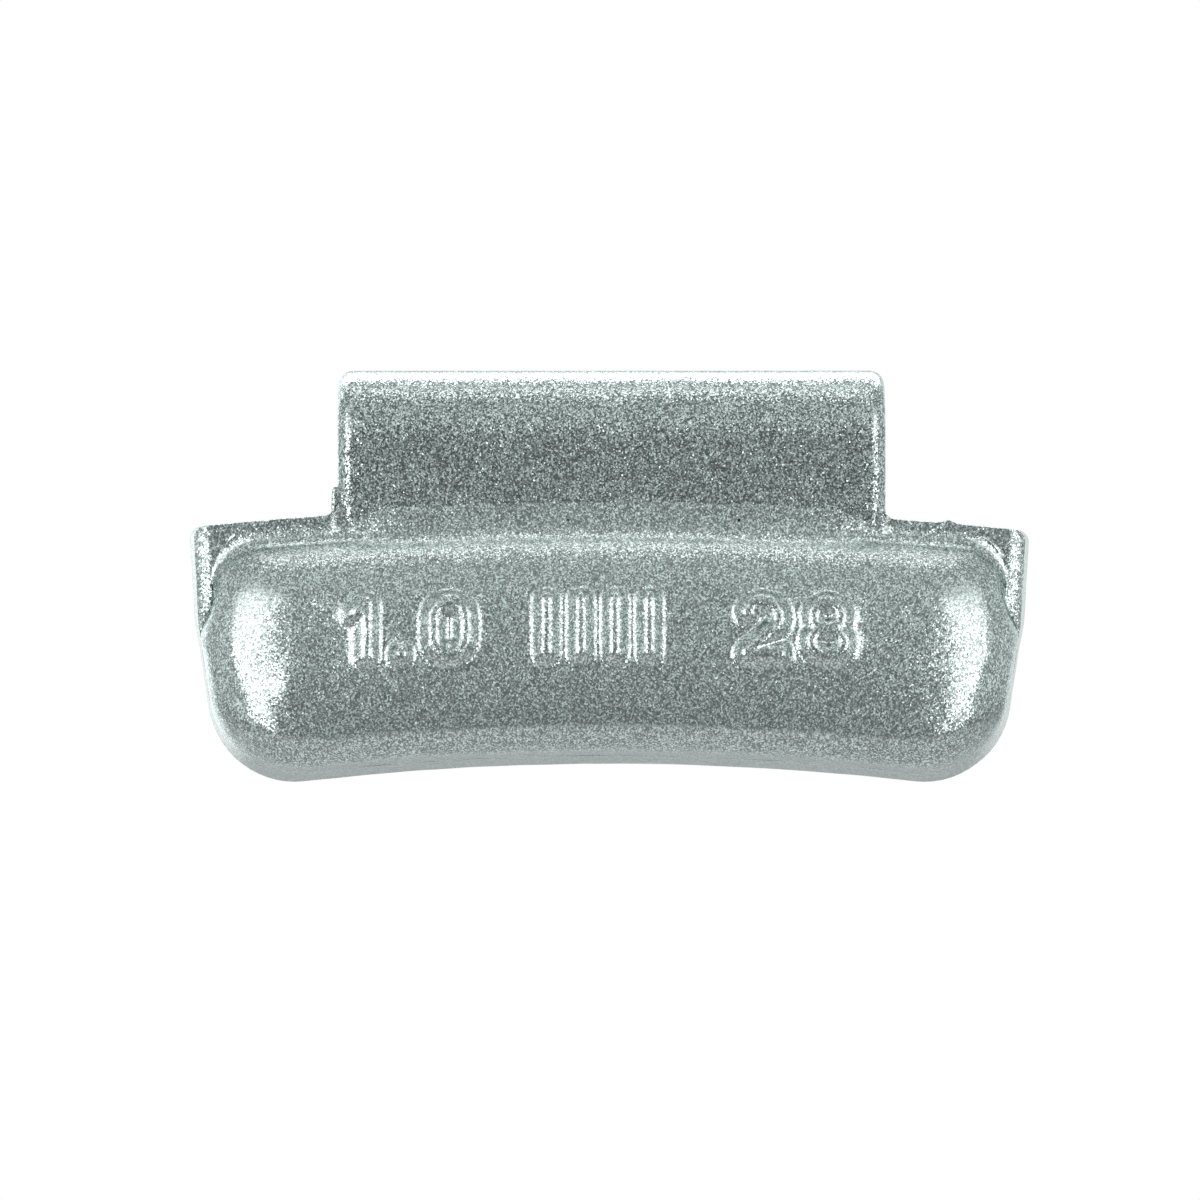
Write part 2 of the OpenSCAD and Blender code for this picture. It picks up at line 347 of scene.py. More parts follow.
@dataclass
class RaisedMarks:
    """Plain figures for the weight, with a row of plain bars between them.

    A mark is a set of lines. Its height over the face falls from the line in a raised cosine, so
    that each stroke is a round ridge with a fillet at its foot, as under a thick coat.
    """

    # The row and its ridges
    base_z: float = -9.78
    height: float = 2.36
    width: float = 1.49
    ridge_r: float = 0.78
    ridge_h: float = 0.39
    crest: float = 0.06
    arc_r: float = 300.0
    row: tuple[tuple[Mark, float], ...] = (
        (Mark.ONE, -11.17), (Mark.POINT, -9.60), (Mark.ZERO, -7.36),
        (Mark.BAR, -2.90), (Mark.BAR, -1.32), (Mark.BAR, 0.25), (Mark.BAR, 1.83),
        (Mark.TWO, 7.06), (Mark.EIGHT, 10.03),
    )
    # Forms of the figures, as shares of half their width and of their height
    dot_l: float = 0.01
    flag: tuple[float, float] = (0.72, 0.84)
    hook_h: float = 0.30
    hook_turn: tuple[float, float] = (165.0, -35.0)
    foot_w: float = 1.05
    upper_loop_w: float = 0.86
    arc_steps: int = 24
    loop_steps: int = 32

    @staticmethod
    def _arc(z: float, rx: float, rz: float, turn: tuple[float, float], steps: int) -> np.ndarray:
        """Points of an elliptical arc about (0, z), from one angle to another, in degrees."""
        angle = np.radians(np.linspace(*turn, steps + 1))
        return np.stack([rx * np.cos(angle), z + rz * np.sin(angle)], axis=-1)

    def _lines(self, mark: Mark) -> list[np.ndarray]:
        """Lines of one mark, about its middle and over its base.

        Args:
            mark: The mark.

        Returns:
            Each line as an array of points.
        """
        w, h = self.width / 2, self.height
        stem = np.array([[0.0, 0.0], [0.0, h]])
        if mark is Mark.POINT:
            return [np.array([[0.0, 0.0], [0.0, self.dot_l]])]
        if mark is Mark.BAR:
            return [stem]
        if mark is Mark.ONE:
            return [stem, np.array([[0.0, h], [-self.flag[0] * w, self.flag[1] * h]])]
        if mark is Mark.ZERO:
            over = self._arc(h - w, w, w, (0, 180), self.arc_steps)
            under = self._arc(w, w, w, (180, 360), self.arc_steps)
            return [np.concatenate([over, under, over[:1]])]
        if mark is Mark.TWO:
            hook = self._arc((1 - self.hook_h) * h, w, self.hook_h * h, self.hook_turn,
                             self.arc_steps)
            return [np.concatenate([hook, [[-w, 0.0], [self.foot_w * w, 0.0]]])]
        upper = self._arc(3 * h / 4, self.upper_loop_w * w, h / 4, (0, 360), self.loop_steps)
        lower = self._arc(h / 4, w, h / 4, (0, 360), self.loop_steps)
        return [upper, lower]

    def over(self, x: np.ndarray, z: np.ndarray) -> np.ndarray:
        """Height of the marks over the face.

        Args:
            x: Places along the rim.
            z: Heights.

        Returns:
            The height at each place: a half cosine wave of the distance from the nearest line.
        """
        level = z + arc_drop(self.arc_r, x)
        reach = self.width + self.ridge_r
        nearest = np.full(x.shape, reach)
        beside_row = np.abs(level - self.base_z - self.height / 2) < reach
        for mark, middle in self.row:
            near = (np.abs(x - middle) < reach) & beside_row
            spot = np.stack([x[near] - middle, level[near] - self.base_z], axis=-1)[:, None]
            for line in self._lines(mark):
                starts, run = line[:-1], line[1:] - line[:-1]
                along = held(((spot - starts) * run).sum(-1) / (run * run).sum(-1))
                gap = np.linalg.norm(spot - starts - along[..., None] * run, axis=-1).min(axis=1)
                nearest[near] = np.minimum(nearest[near], gap)
        share = held((nearest - self.crest) / (self.ridge_r - self.crest))
        return self.ridge_h * (1 + np.cos(math.pi * share)) / 2


@dataclass(frozen=True)
class GridSteps:
    """How finely the skin of the casting is divided: the points along each stretch of it."""

    marked_share: float = 0.78
    marked: int = 128
    outer: int = 14
    corner: int = 15
    lower_side: int = 11
    upper_side: int = 9
    back: int = 6
    top: int = 6
    edge: int = 7
    margin: int = 9
    foot: int = 22
    shoulder: int = 36
    face: int = 60
    ball: tuple[int, int] = (33, 17)


@dataclass(frozen=True)
class Outlines:
    """Outlines of the bar before it is bent to the rim, with one value in each row of a column.

    Each has its depth in front of the plate, the heights of its two long edges, the height that
    parts its side in two, and the half width and height of each quarter round at its corners.
    """

    d: np.ndarray
    low: np.ndarray
    top: np.ndarray
    split: np.ndarray
    low_corner: tuple[np.ndarray | float, np.ndarray]
    high_corner: tuple[np.ndarray | float, np.ndarray]
    inset: np.ndarray | float = 0.0


@dataclass
class Casting:
    """The cast bar: a thin plate behind, and a belly that stands out in front of it.

    Its skin is one grid. A row is an outline of the bar at one depth, from the middle of the back
    to the crest of the belly, and a column runs from the back over the edge and down the face.
    """

    coat: FlakeCoat
    marks: RaisedMarks = field(default_factory=RaisedMarks)
    steps: GridSteps = GridSteps()
    # The whole bar: its outline, its two arcs, and its place beside the clip
    length: float = 39.15
    height: float = 11.9
    lowest_x: float = 14.2
    bottom_drop: float = 0.1
    top_arc_r: float = 190.0
    underside_r: float = 123.0
    draft: float = 8.0
    low_corner_r: float = 3.9
    corner_share: float = 0.45
    least_corner_r: float = 0.1
    cast_shift: float = -0.09
    # The back face: its rounded edge, the slope at its top, and the reach of its inner rows
    back_edge_r: float = 0.45
    relief_h: float = 2.4
    relief_d: float = 1.1
    back_depth: float = 5.6
    # The plate: its ends, its edges, and how it falls away and leans back towards its ends
    plate_set_back: float = 0.05
    plate_show: float = 0.87
    plate_h: float = 5.2
    plate_lean: float = 3.0
    plate_proud: float = 0.17
    plate_draft: float = 5.0
    plate_fade_h: float = 1.6
    plate_corner_r: float = 0.55
    plate_edge_r: float = 0.22
    plate_margin: tuple[float, float] = (0.12, 1.6)
    plate_back_lean: float = 2.5
    plate_lean_l: float = 7.0
    bevel_r: float = 1.2
    bevel_turn: float = 30.0
    # The plate's top: the rise on the left of the clip, and the coat's fillet beside the strip
    left_rise: float = 0.17
    rise_start: float = 0.8
    rise_l: float = 0.7
    rise_share: float = 0.6
    coat_r: float = 0.5
    coat_back: float = 0.9
    coat_rows: float = 2.4
    # The belly's ends: how they lean, stand in from the plate, twist and close
    end_lean: float = 8.8
    front_lean: float = -6.0
    end_draft: float = 4.0
    end_round: float = 4.5
    high_corner_r: float = 2.3
    belly_inset: float = 0.92
    inset_step: float = 0.05
    inset_low_z: tuple[float, float] = (-8.0, -9.3)
    inset_high_z: tuple[float, float] = (-6.2, -5.2)
    blend_d: float = 1.5
    # The belly's section: underside, crest, face, shoulder and foot
    under_start: float = 1.2
    crest_h: float = 2.45
    crest_flat: float = 0.5
    face_r: float = 26.0
    face_lean: float = 16.0
    shoulder_r: float = 5.0
    shoulder_start: float = 60.0
    end_foot_r: float = 1.0
    clip_foot_r: float = 2.25
    foot_fade_start: float = 3.2
    foot_fade_l: float = 3.3
    foot_share: float = 0.25
    # The swell of the coat, which the back face hasn't, and the least depth of the marked face
    swell: float = 0.022
    swell_wave: float = 5.5
    back_facing: float = 0.7
    face_d: float = 1.0
    face_row: int = -12
    # Flaws of the casting: the fin of flash, a blob on the plate's top and a lump low on the face
    flash_px: tuple[float, float, float, float] = (331.0, 486.0, 345.0, 540.0)
    flash_t: float = 0.6
    flash_set_back: float = 0.1
    flash_power: float = 0.45
    blob_px: tuple[float, float] = (951.0, 524.0)
    blob_r: float = 0.28
    blob_h: float = 0.16
    blob_d: float = 0.5
    lump_px: tuple[float, float] = (292.0, 686.0)
    lump_r: float = 0.75
    lump_h: float = 0.07

    def __post_init__(self) -> None:
        """Take the places that the casting shares with the clip from the frame."""
        cast_low, cast_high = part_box("cast_weight")
        clip_low, clip_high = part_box("spring_clip")
        self.clip_half = clip_high[0] / MM
        self.back_y = cast_high[1] / MM
        self.plate_y = clip_low[1] / MM + self.plate_set_back
        self.plate_t = self.back_y - self.plate_y
        lowest = cast_low[2] / MM + arc_drop(self.underside_r, self.lowest_x)
        self.bottom_z = lowest - self.bottom_drop
        self.top_z = self.bottom_z + self.height
        self.shoulder_z = self.top_z - self.plate_show
        self.plate_low_z = self.top_z - self.plate_h

        self.start, self.lean = math.radians(self.shoulder_start), math.radians(self.face_lean)
        roof_drop = self.height - self.plate_show - self.crest_h - self.crest_flat / 2
        shoulder_h = self.shoulder_r * (math.sin(self.start) - math.sin(self.lean))
        self.shoulder_d = self.shoulder_r * (math.cos(self.lean) - math.cos(self.start))
        self.crest_lean = math.asin(math.sin(self.lean) - (roof_drop - shoulder_h) / self.face_r)
        face_d = self.face_r * (math.cos(self.crest_lean) - math.cos(self.lean))
        self.belly_d = self.shoulder_d + face_d
        crest_low = self.crest_h - self.crest_flat / 2
        self.under_round = crest_low - (self.plate_t + self.under_start) * slope_of(self.draft)

    def _foot_turn(self, foot_r: float) -> float:
        """Angle through which a foot of this radius turns before it meets the shoulder's arc."""
        meets = foot_r + self.shoulder_r * math.cos(self.start)
        return math.acos(meets / (foot_r + self.shoulder_r))

    def _roof_top(self, d: np.ndarray, foot_r: float) -> np.ndarray:
        """Height of the roof at the depth d.

        A hollow foot turns from the plate's face into a shoulder arc. That turns until it leans
        back by the face's lean, and the face goes on along a wide arc, nearly upright at the
        crest. The cosine of an arc's own angle grows by the depth over its radius.

        Args:
            d: Depths in front of the plate.
            foot_r: Radius of the foot.

        Returns:
            The height at each depth.
        """
        cosine = np.minimum(d, self.shoulder_d) / self.shoulder_r + math.cos(self.start)
        fall = self.shoulder_r * (math.sin(self.start) - np.sqrt(1 - cosine ** 2))
        cosine = np.maximum(d - self.shoulder_d, 0) / self.face_r + math.cos(self.lean)
        fall += self.face_r * (math.sin(self.lean) - np.sqrt(1 - np.minimum(cosine, 1) ** 2))
        turn = self._foot_turn(foot_r)
        foot_d = foot_r * (1 - math.cos(turn))
        foot = (self.shoulder_r * (math.sin(turn) - math.sin(self.start))
                + foot_r * math.sin(turn)
                - np.sqrt(foot_r ** 2 - (foot_r - np.minimum(d, foot_d)) ** 2))
        return self.shoulder_z + np.where(d < foot_d, foot, -fall)

    def _belly_half(self, z: np.ndarray, d: np.ndarray) -> np.ndarray:
        """Half length of the belly.

        The ends lean in towards the hub, narrow by their draft, and stand in from the plate's by
        the inset. The lean goes over into the front's own with the square of the depth, and each
        end closes in an elliptical quarter round whose depth is that of the belly.

        Args:
            z: Heights.
            d: Depths in front of the plate.

        Returns:
            The half length at each place.
        """
        lean = slope_of(self.end_lean)
        twist = (lean - slope_of(self.front_lean)) * held(d / self.belly_d) ** 2
        return (self.length / 2 - self.plate_h * slope_of(self.plate_lean) - self.plate_proud
                - (self.plate_low_z - z) * (lean - twist)
                - (self.plate_t + d) * slope_of(self.end_draft)
                - self._inset(z, d)
                - self.end_round * round_cut(d / self.belly_d))

    def _inset(self, z: np.ndarray, d: np.ndarray) -> np.ndarray:
        """Depth by which the belly's ends stand in from the plate's.

        It grows from none low down to all of it above, over a short height beside the plate and
        over a longer one further forward, and the slab behind has none.

        Args:
            z: Heights.
            d: Depths in front of the plate.

        Returns:
            The inset at each place.
        """
        forward = held(d / self.blend_d)
        low = self.inset_low_z[0] * (1 - forward) + self.inset_low_z[1] * forward
        high = self.inset_high_z[0] * (1 - forward) + self.inset_high_z[1] * forward
        return self.belly_inset * eased((z - low) / (high - low)) * held(1 + d / self.inset_step)

    def _slab_half(self, z: np.ndarray, d: np.ndarray) -> np.ndarray:
        """Half length of the slab behind: the plate's end above, eased into the belly's wall.

        Args:
            z: Heights.
            d: Depths in front of the plate, which are below 0 here.

        Returns:
            The half length at each place.
        """
        plate = (self.length / 2 - (self.top_z - z) * slope_of(self.plate_lean)
                 - (self.plate_t + d) * slope_of(self.plate_draft))
        share = eased((z - self.plate_low_z) / self.plate_fade_h)
        return self._belly_half(z, d) * (1 - share) + plate * share

    def _long_stations(self) -> np.ndarray:
        """Shares of a long edge from its middle: even and close under the marks, wider beyond."""
        marked = np.linspace(0, self.steps.marked_share, self.steps.marked)
        return np.concatenate([marked, np.linspace(marked[-1], 1, self.steps.outer)[1:]])

    def _half_outlines(self, rows: Outlines, slab: bool) -> tuple[np.ndarray, np.ndarray]:
        """Right halves of outlines, from the middle of the lower edge to that of the upper one.

        Each is a line, an elliptical quarter, two stretches of side that meet at the height that
        parts them, another quarter and a line.

        Args:
            rows: The outlines.
            slab: Whether their ends are the slab's and not the belly's.

        Returns:
            X and Z of each point, before the bar is bent to the rim.
        """
        half = self._slab_half if slab else self._belly_half
        stations = self._long_stations()[:-1]
        turn = np.linspace(0, math.pi / 2, self.steps.corner)
        lower = np.linspace(0, 1, self.steps.lower_side)[1:]
        upper = np.linspace(0, 1, self.steps.upper_side)[1:-1]
        (low_rx, low_rz), (high_rx, high_rz) = rows.low_corner, rows.high_corner
        low_reach = 1 - low_rx / self._belly_half(rows.low, rows.d)
        high_reach = 1 - high_rx / self._belly_half(rows.top, rows.d)
        low_end = rows.low + low_rz
        high_end = rows.top - high_rz
        low_turn = low_reach + (1 - low_reach) * np.sin(turn)
        high_turn = high_reach + (1 - high_reach) * np.cos(turn)
        parts = [
            (low_reach * stations, rows.low + 0 * stations),
            (low_turn, rows.low + low_rz * (1 - np.cos(turn))),
            (1 + 0 * (rows.d + lower), low_end + (rows.split - low_end) * lower),
            (1 + 0 * (rows.d + upper), rows.split + (high_end - rows.split) * upper),
            (high_turn, rows.top - high_rz * (1 - np.sin(turn))),
            (high_reach * stations[::-1], rows.top + 0 * stations),
        ]
        reach = np.concatenate([part[0] for part in parts], axis=1)
        z = np.concatenate([part[1] for part in parts], axis=1)
        return (half(z, rows.d) - rows.inset) * reach, z

    def _belly_rows(self, d: np.ndarray) -> tuple[np.ndarray, np.ndarray]:
        """Right halves of the belly's outlines.

        The underside rises with the draft, and then in a quarter round up to the crest. The foot
        of the shoulder is larger where the coat runs down the clip than at the ends, so between
        them the upper part of each outline is lifted.

        Args:
            d: Depths in front of the plate, as a column.

        Returns:
            X and Z of each point, before the bar is bent to the rim.
        """
        under = round_cut((d - self.under_start) / (self.belly_d - self.under_start))
        rise = (self.plate_t + np.minimum(d, self.under_start)) * slope_of(self.draft)
        low = self.bottom_z + rise + self.under_round * under
        top = self._roof_top(d, self.end_foot_r)
        tall = top - low
        low_rz = np.minimum(self.low_corner_r, self.corner_share * tall)
        high_rz = np.minimum(self.high_corner_r, self.corner_share * tall)
        start = self.bottom_z + self.low_corner_r
        full_top = self._roof_top(np.zeros(1), self.end_foot_r)
        share = (self.plate_low_z - start) / (full_top - self.high_corner_r - start)
        split = low + low_rz + share * (top - high_rz - low - low_rz)
        x, z = self._half_outlines(Outlines(
            d, low, top, split, (self.low_corner_r, low_rz), (self.high_corner_r, high_rz),
        ), False)
        from_clip = np.abs(x) - self.clip_half
        near_clip = 1 - eased((from_clip + self.foot_fade_start) / self.foot_fade_l)
        upper = eased(((z - low) / tall - 1 + self.foot_share) / self.foot_share)
        return x, z + (self._roof_top(d, self.clip_foot_r) - top) * near_clip * upper

    def _slab_rows(self, forward: np.ndarray, inset: np.ndarray) -> tuple[np.ndarray, np.ndarray]:
        """Right halves of the slab's outlines.

        Args:
            forward: Distances forward from the back face, as a column.
            inset: How far each outline lies inside the slab's own, as a column.

        Returns:
            X and Z of each point, before the bar is bent to the rim.
        """
        low = self.bottom_z + forward * slope_of(self.draft) + inset
        top = self.top_z - inset
        low_r = np.maximum(self.low_corner_r - inset, self.least_corner_r)
        corner = np.maximum(self.plate_corner_r - inset, self.least_corner_r)
        low_rz = np.minimum(low_r, self.corner_share * (top - low))
        split = np.clip(self.plate_low_z + 0 * inset, low + low_rz, top - corner)
        return self._half_outlines(Outlines(
            forward - self.plate_t, low, top, split, (low_r, low_rz), (corner, corner), inset,
        ), True)

    def _edge_rows(self) -> tuple[np.ndarray, np.ndarray, np.ndarray]:
        """Rows round the plate's front edge and a little way in over its face.

        Each point goes from the slab's outline towards the same point of the belly's, and stops
        where it meets that.

        Returns:
            X and Z of the right half of each row, and the depth of each row as a column.
        """
        quarter = np.linspace(0, math.pi / 2, self.steps.edge)[:, None]
        margin = np.linspace(*self.plate_margin, self.steps.margin)[:, None]
        behind = self.plate_edge_r * np.concatenate([1 - np.sin(quarter), 0 * margin])
        into = self.plate_edge_r * (1 - np.cos(quarter))
        step = np.concatenate([into, self.plate_edge_r + margin])
        slab_x, slab_z = self._slab_rows(self.plate_t - behind, 0 * behind)
        foot_x, foot_z = self._belly_rows(np.zeros((1, 1)))
        away = np.hypot(foot_x - slab_x, foot_z - slab_z)
        share = np.where(away > step, step / np.maximum(away, TINY), 1.0)
        return slab_x + (foot_x - slab_x) * share, slab_z + (foot_z - slab_z) * share, -behind

    def _front_depths(self) -> np.ndarray:
        """Depths of the belly's rows, as a column: even steps along the foot and the two arcs."""
        turn = self._foot_turn(self.clip_foot_r)
        sines = np.array([math.sin(turn), math.sin(self.lean), math.sin(self.crest_lean)])
        foot = self.clip_foot_r * (1 - np.cos(np.linspace(0, turn, self.steps.foot)))
        arc = np.arcsin(np.linspace(*sines[:2], self.steps.shoulder)[1:])
        shoulder = self.shoulder_r * (np.cos(arc) - math.cos(self.start))
        arc = np.arcsin(np.linspace(*sines[1:], self.steps.face)[1:])
        face = self.shoulder_d + self.face_r * (np.cos(arc) - math.cos(self.lean))
        return np.concatenate([foot, shoulder, face])[:, None]

    def _rows(self) -> tuple[np.ndarray, np.ndarray, np.ndarray]:
        """All rows of the skin: the back face, its edge, the plate's top and edge, and the belly.

        Returns:
            X and Z of the right half of each row, and the depth of each row as a column.
        """
        deep = np.linspace(self.back_depth, self.back_edge_r, self.steps.back)[:-1, None]
        quarter = np.linspace(0, math.pi / 2, self.steps.edge)[:, None]
        behind = self.back_edge_r * (1 - np.cos(quarter))
        reach = self.coat_rows * self.coat_back
        thick = self.plate_t - np.linspace(reach, self.plate_edge_r, self.steps.top)[:-1, None]
        edge_x, edge_z, edge_d = self._edge_rows()
        front_d = self._front_depths()
        parts = [
            (*self._slab_rows(0 * deep, deep), 0 * deep - self.plate_t),
            (*self._slab_rows(behind, self.back_edge_r * (1 - np.sin(quarter))),
             behind - self.plate_t),
            (*self._slab_rows(thick, 0 * thick), thick - self.plate_t),
            (edge_x, edge_z, edge_d),
            (*self._belly_rows(front_d), front_d),
        ]
        x, z, d = (np.concatenate(arrays) for arrays in zip(*parts))
        return x, z, d

    def _bent(self, x: np.ndarray, z: np.ndarray, d: np.ndarray) -> np.ndarray:
        """Bend flat outlines to the rim, slope the top of the back face and bevel the plate.

        The drop goes from that of the rim's arc at the top to that of the underside's arc at the
        bottom. The slope takes away a share of the slab's thickness that grows towards the top.
        The plate's bevel fades to none at the back face and over the first part of the belly.

        Args:
            x: Places along the rim.
            z: Heights.
            d: Depths in front of the plate, as a column.

        Returns:
            The points, with X, Y and Z last.
        """
        share = (self.top_z - z) / self.height
        drop = (1 - share) * arc_drop(self.top_arc_r, x) + share * arc_drop(self.underside_r, x)
        slope = held((z - self.top_z + self.relief_h) / self.relief_h)
        y = self.plate_y - d - self.relief_d * slope * held(-d / self.plate_t)
        y = y + self._bevel(x, z) * held(1 + d / self.plate_t) * (1 - eased(d / self.blend_d))
        return np.stack([x, y + 0 * x, z - drop], axis=-1)

    def _bevel(self, x: np.ndarray, z: np.ndarray) -> np.ndarray:
        """Depth by which the plate's face falls away towards its ends.

        It follows an arc, and goes on straight where the arc ends. There the face also leans back
        a little towards the top.

        Args:
            x: Places along the rim.
            z: Heights.

        Returns:
            The depth at each place.
        """
        turn = math.radians(self.bevel_turn)
        run = self.bevel_r * math.sin(turn)
        start = self._slab_half(z, 0 * z) - self.plate_edge_r - run
        into = np.clip(np.abs(x) - start, 0, run)
        beyond = np.maximum(np.abs(x) - start - run, 0)
        arc = self.bevel_r - np.sqrt(self.bevel_r ** 2 - into ** 2) + beyond * math.tan(turn)
        above = np.maximum(z - self.plate_low_z, 0)
        near_end = eased((np.abs(x) - start + self.plate_lean_l) / self.plate_lean_l)
        return arc + above * near_end * slope_of(self.plate_back_lean)

    def _uneven(self, skin: np.ndarray) -> np.ndarray:
        """Raise the plate on the left, let the coat fill its corners with the clip, and shift it.

        The coat's fillet is a hollow quarter round on the plate's top, as deep as the strip is
        thick. The whole casting stands a little to the left of the clip's middle.

        Args:
            skin: Points of the skin, which are moved.

        Returns:
            The same points.
        """
        above = skin[..., 2] + arc_drop(self.top_arc_r, skin[..., 0]) - self.shoulder_z
        plate_share = held(above / (self.rise_share * self.plate_show))
        on_left = eased((-skin[..., 0] - self.clip_half + self.rise_start) / self.rise_l)
        skin[..., 2] += self.left_rise * on_left * plate_share
        beside_clip = held(1 - (np.abs(skin[..., 0]) - self.clip_half) / self.coat_r)
        at_strip = 1 - eased((skin[..., 1] - self.plate_y - self.coat_back) / self.coat_back)
        skin[..., 2] += self.coat_r * round_cut(beside_clip) * plate_share * at_strip
        skin[..., 0] += self.cast_shift
        return skin

    def _flash(self) -> tuple[np.ndarray, list[list[int]]]:
        """Fin of metal beside the clip: a box with very round edges.

        Each coordinate of a ball is raised to a small power with its sign kept, which pushes the
        ball out towards its box.

        Returns:
            The fin's points and its faces.
        """
        left, top = from_pixel(*self.flash_px[:2])
        right, low = from_pixel(*self.flash_px[2:])
        turn = np.linspace(0, 2 * math.pi, self.steps.ball[0])[:-1]
        rise = np.linspace(-math.pi / 2, math.pi / 2, self.steps.ball[1])[:, None]
        ball = np.stack([np.cos(rise) * np.cos(turn), np.cos(rise) * np.sin(turn),
                         np.sin(rise) + 0 * turn], axis=-1)
        box = np.sign(ball) * np.abs(ball) ** self.flash_power
        half = np.array([right - left, self.flash_t, top - low]) / 2
        middle_y = self.plate_y + self.flash_t / 2 + self.flash_set_back
        points = box * half + np.array([(left + right) / 2, middle_y, (top + low) / 2])
        return points.reshape(-1, 3), grid_quads(len(rise), len(turn)).tolist()

    def _normals(self, skin: np.ndarray) -> np.ndarray:
        """Outward normals of the skin: the cross product of the steps along its two ways.

        Args:
            skin: Points of the skin.

        Returns:
            A unit vector for each point, turned so that the face's look towards the viewer.
        """
        wide = np.concatenate([skin[:, -1:], skin, skin[:, :1]], axis=1)
        across = (wide[:, 2:] - wide[:, :-2]) / 2
        normal = np.cross(np.gradient(skin, axis=0), across)
        normal /= np.maximum(np.linalg.norm(normal, axis=-1, keepdims=True), TINY)
        return normal * -np.sign(normal[self.face_row, 0, 1])

    @staticmethod
    def _mound(skin: np.ndarray, place_px: tuple[float, float], radius: float) -> np.ndarray:
        """Share of a round mound's height: a bell curve of the distance from its middle."""
        x, z = from_pixel(*place_px)
        return np.exp(-(np.hypot(skin[..., 0] - x, skin[..., 2] - z) / radius) ** 2)

    def _skin(self) -> np.ndarray:
        """Points of the whole skin, with the marks, the coat's swell and the casting's flaws.

        Returns:
            An array of rows, columns and the three coordinates.
        """
        right = self._bent(*self._rows())
        left = right[:, -2:0:-1] * np.array([-1.0, 1.0, 1.0])
        skin = np.concatenate([right, left], axis=1)
        normal = self._normals(skin)
        on_face = skin[..., 1] < self.plate_y - self.face_d
        raised = self.marks.over(skin[..., 0], skin[..., 2]) * on_face
        swell = ripple(skin, self.swell_wave, self.swell) * (normal[..., 1] < self.back_facing)
        skin = skin + normal * (raised + swell)[..., None]
        on_plate = held(1 - (self.plate_y - skin[..., 1]) / self.blob_d)
        skin[..., 2] += self.blob_h * self._mound(skin, self.blob_px, self.blob_r) * on_plate
        on_face = skin[..., 1] < self.plate_y - self.face_d
        skin[..., 1] -= self.lump_h * self._mound(skin, self.lump_px, self.lump_r) * on_face
        return self._uneven(skin)

    def build(self) -> bpy.types.Object:
        """Make the casting.

        Returns:
            The dressed piece, riding on the frame.
        """
        skin = self._skin()
        rows, columns = skin.shape[:2]
        faces = grid_quads(rows, columns).tolist()
        long = len(self._long_stations()) - 1
        half = columns // 2
        for row in (0, rows - 1):
            start = row * columns
            lower = start + np.arange(-long, long + 1) % columns
            upper = start + half - np.arange(-long, long + 1)
            strip = np.stack([lower[:-1], lower[1:], upper[1:], upper[:-1]], axis=-1)
            faces += strip.tolist()
            faces.append((start + np.arange(long, half - long + 1)).tolist())
            faces.append((start + half + np.arange(long, half - long + 1)).tolist())
        fin, fin_faces = self._flash()
        faces += (np.array(fin_faces) + rows * columns).tolist()
        piece = make_piece("weight_casting", np.concatenate([skin.reshape(-1, 3), fin]), faces)
        piece.data.materials.append(self.coat.material())
        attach(piece, "root")
        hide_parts("cast_weight")
        log.info("casting: %d points", len(piece.data.vertices))
        return piece


